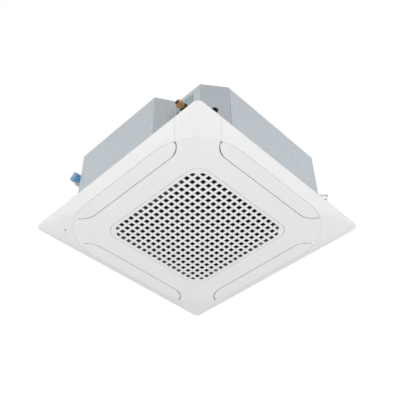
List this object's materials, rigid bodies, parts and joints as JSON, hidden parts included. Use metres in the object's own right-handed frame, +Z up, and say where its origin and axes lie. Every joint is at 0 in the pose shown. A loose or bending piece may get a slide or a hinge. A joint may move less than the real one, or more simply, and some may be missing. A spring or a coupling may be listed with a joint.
{
  "type": "ceiling cassette air conditioner",
  "caption": "Square ceiling cassette air conditioner with a perforated intake grille, curved-ended air vanes and a sheet-metal body with pipe and drain connections.",
  "frame": {"origin": "middle of the front panel, on the plane of the ceiling it lies against", "axes": "+Z up into the ceiling; +X towards the grille's latches, -X its hinge; pipes at the (-X, -Y) corner, drain at the (-X, +Y) corner"},
  "size_m": [0.95, 0.95, 0.3532],
  "materials": {
    "panel_white": "fine satin white",
    "galvanised": "galvanised sheet, faint spangle",
    "zinc": "zinc-plated",
    "foam": "expanded polystyrene",
    "dark_foam": "closed-cell foam",
    "fins": "coated fins",
    "copper": "drawn copper",
    "brass": "machined",
    "black_plastic": "moulded",
    "black_rubber": "moulded",
    "motor_grey": "satin",
    "steel": "turned",
    "fan_plastic": "moulded",
    "grey_plastic": "moulded",
    "board_green": "lacquered",
    "blue_plastic": "moulded",
    "window_dark": "smoked",
    "filter_net": "fine net",
    "hose": "soft"
  },
  "bodies": {
    "unit": {"bellmouth": "grey_plastic", "cable_grommet": "black_rubber", "casing_screws": "zinc", "casing_top": "galvanised", "casing_wrap": "galvanised", "coil_baffle": "galvanised", "coil_block": "fins", "coil_end_plates": "galvanised", "control_board": "board_green", "control_box": "galvanised", "control_box_cover": "galvanised", "corner_covers": "panel_white", "corner_panel": "galvanised", "display_board": "board_green", "drain_cap": "blue_plastic", "drain_hose": "hose", "drain_outlet": "grey_plastic", "drain_pan": "foam", "drain_pump": "grey_plastic", "duct_seals": "dark_foam", "fan_motor": "motor_grey", "flare_plugs": "black_plastic", "float_switch": "grey_plastic", "gas_flare_nut": "brass", "gas_header": "copper", "hanger_brackets": "zinc", "hinge_brackets": "zinc", "insulation": "foam", "liquid_flare_nut": "brass", "liquid_line": "copper", "motor_bushes": "black_rubber", "motor_nuts": "zinc", "panel_ears": "zinc", "panel_frame": "panel_white", "panel_screws": "zinc", "pipe_gaskets": "black_rubber", "pipe_plate": "galvanised", "pump_bracket": "zinc", "receiver_cover": "panel_white", "receiver_window": "window_dark", "return_bends": "copper", "terminal_block": "black_plastic", "vane_motors": "steel"},
    "fan": {"fan_wheel": "fan_plastic", "fan_shroud": "fan_plastic", "fan_nut": "zinc", "fan_shaft": "steel"},
    "vane_1": {"air_vane_1": "panel_white"},
    "vane_2": {"air_vane_2": "panel_white"},
    "vane_3": {"air_vane_3": "panel_white"},
    "vane_4": {"air_vane_4": "panel_white"},
    "grille": {"intake_grille": "panel_white", "filter_frame": "black_plastic", "filter_mesh": "filter_net", "hinge_pins": "steel"},
    "latch_left": {"latch_left": "panel_white"},
    "latch_right": {"latch_right": "panel_white"},
    "float": {"drain_float": "grey_plastic"},
    "impeller": {"pump_impeller": "grey_plastic"},
    "button": {"run_button": "grey_plastic"}
  },
  "joints": [
    {"name": "fan_spin", "type": "hinge", "parent": "unit", "child": "fan", "pos_m": [0, 0, 0.2], "axis": [0, 0, 1], "continuous": true},
    {"name": "vane_1_tilt", "type": "hinge", "parent": "unit", "child": "vane_1", "pos_m": [0.385, 0, -0.019], "axis": [0, 1, 0], "range_deg": [0, 45]},
    {"name": "vane_2_tilt", "type": "hinge", "parent": "unit", "child": "vane_2", "pos_m": [0, 0.385, -0.019], "axis": [-1, 0, 0], "range_deg": [0, 45]},
    {"name": "vane_3_tilt", "type": "hinge", "parent": "unit", "child": "vane_3", "pos_m": [-0.385, 0, -0.019], "axis": [0, -1, 0], "range_deg": [0, 45]},
    {"name": "vane_4_tilt", "type": "hinge", "parent": "unit", "child": "vane_4", "pos_m": [0, -0.385, -0.019], "axis": [1, 0, 0], "range_deg": [0, 45]},
    {"name": "grille_hinge", "type": "hinge", "parent": "unit", "child": "grille", "pos_m": [-0.282, 0, -0.0195], "axis": [0, 1, 0], "range_deg": [0, 85]},
    {"name": "latch_left_slide", "type": "slide", "parent": "grille", "child": "latch_left", "axis": [-1, 0, 0], "range_m": [0, 0.008]},
    {"name": "latch_right_slide", "type": "slide", "parent": "grille", "child": "latch_right", "axis": [-1, 0, 0], "range_m": [0, 0.008]},
    {"name": "float_rise", "type": "slide", "parent": "unit", "child": "float", "axis": [0, 0, 1], "range_m": [0, 0.012]},
    {"name": "impeller_spin", "type": "hinge", "parent": "unit", "child": "impeller", "pos_m": [-0.31466, 0.31466, 0.11], "axis": [0, 0, 1], "continuous": true},
    {"name": "run_button_press", "type": "slide", "parent": "unit", "child": "button", "axis": [0, 0, 1], "range_m": [0, 0.001], "stiffness_N_per_m": 150, "springref_m": -0.001}
  ]
}
